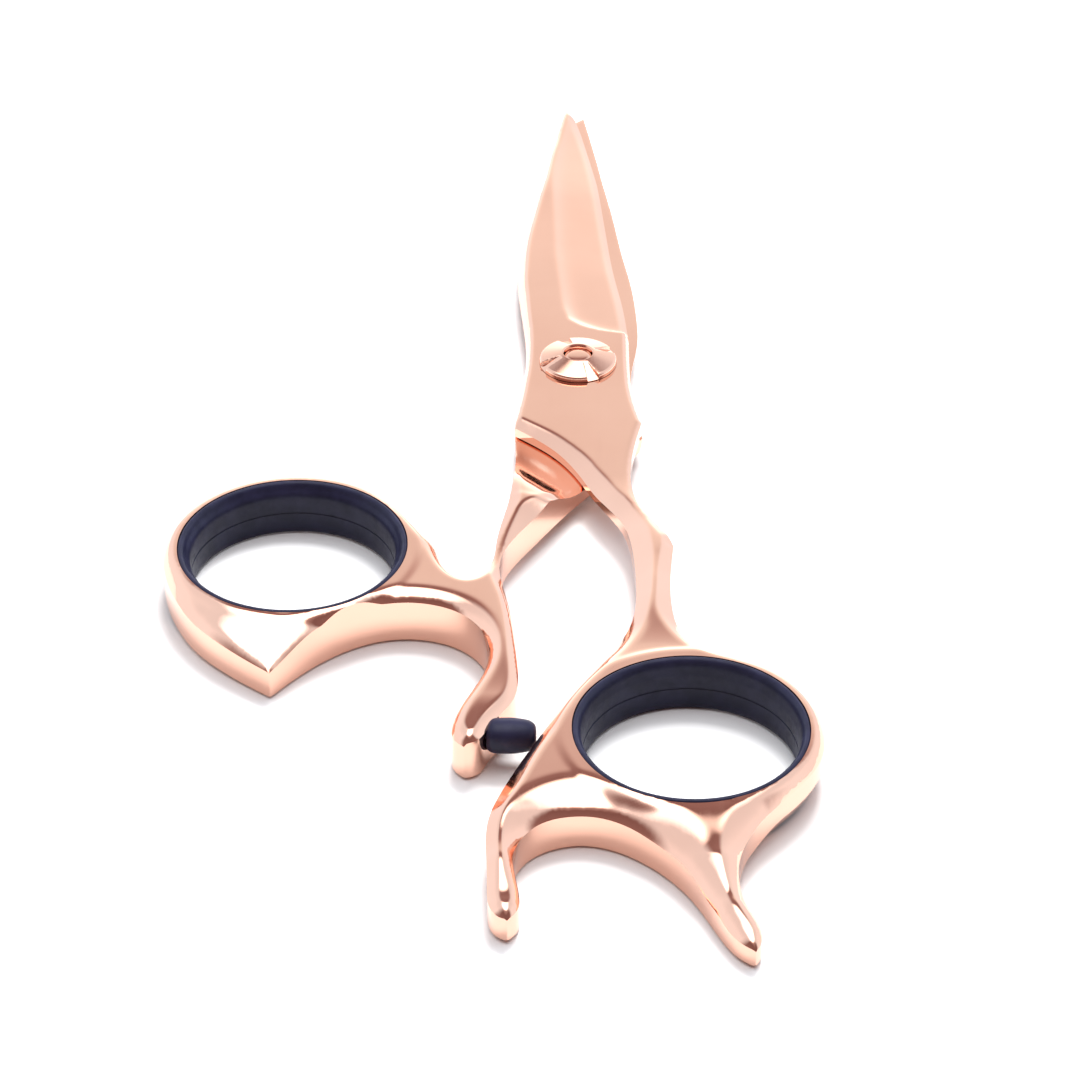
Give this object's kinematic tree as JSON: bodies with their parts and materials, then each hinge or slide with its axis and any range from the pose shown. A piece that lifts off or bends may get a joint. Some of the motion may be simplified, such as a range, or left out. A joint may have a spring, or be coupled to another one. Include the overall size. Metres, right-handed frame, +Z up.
{
  "type": "hair cutting shears",
  "caption": "Hair cutting shears with crossing blades, offset finger rings, curled finger rests, a tension dial at the pivot and a rubber bumper between the handles.",
  "frame": {"origin": "on the pivot axis, in the flat underside of the bolt head, which is the plane the shears lie on", "axes": "+Y from the handles to the blade tips, +X towards the finger ring, +Z up out of the face with the tension dial"},
  "size_m": [0.0713, 0.1661, 0.0066],
  "materials": {
    "rose_gold": "mirror-polished rose-gold coating on forged steel, fine hairline wear",
    "navy_rubber": "matt dark navy rubber",
    "bronze": "turned bronze",
    "spring_steel": "satin hardened steel",
    "nylon": "natural nylon sheet"
  },
  "bodies": {
    "lower_half": {"lower_shear": "rose_gold", "pivot_bolt": "rose_gold", "glide_washer": "nylon", "thumb_ring_insert": "navy_rubber", "bumper": "navy_rubber", "bumper_stud": "spring_steel"},
    "upper_half": {"upper_shear": "rose_gold", "pivot_bush": "bronze", "click_plate": "spring_steel", "detent_balls": "spring_steel", "finger_ring_insert": "navy_rubber"},
    "dial": {"tension_dial": "rose_gold", "spring_washer": "spring_steel"}
  },
  "joints": [
    {"name": "pivot", "type": "hinge", "parent": "lower_half", "child": "upper_half", "pos_m": [0, 0, 0.0032], "axis": [0, 0, 1], "range_deg": [0, 65]},
    {"name": "dial_turn", "type": "hinge", "parent": "lower_half", "child": "dial", "pos_m": [0, 0, 0.0064], "axis": [0, 0, 1], "range_deg": [-90, 180]}
  ]
}
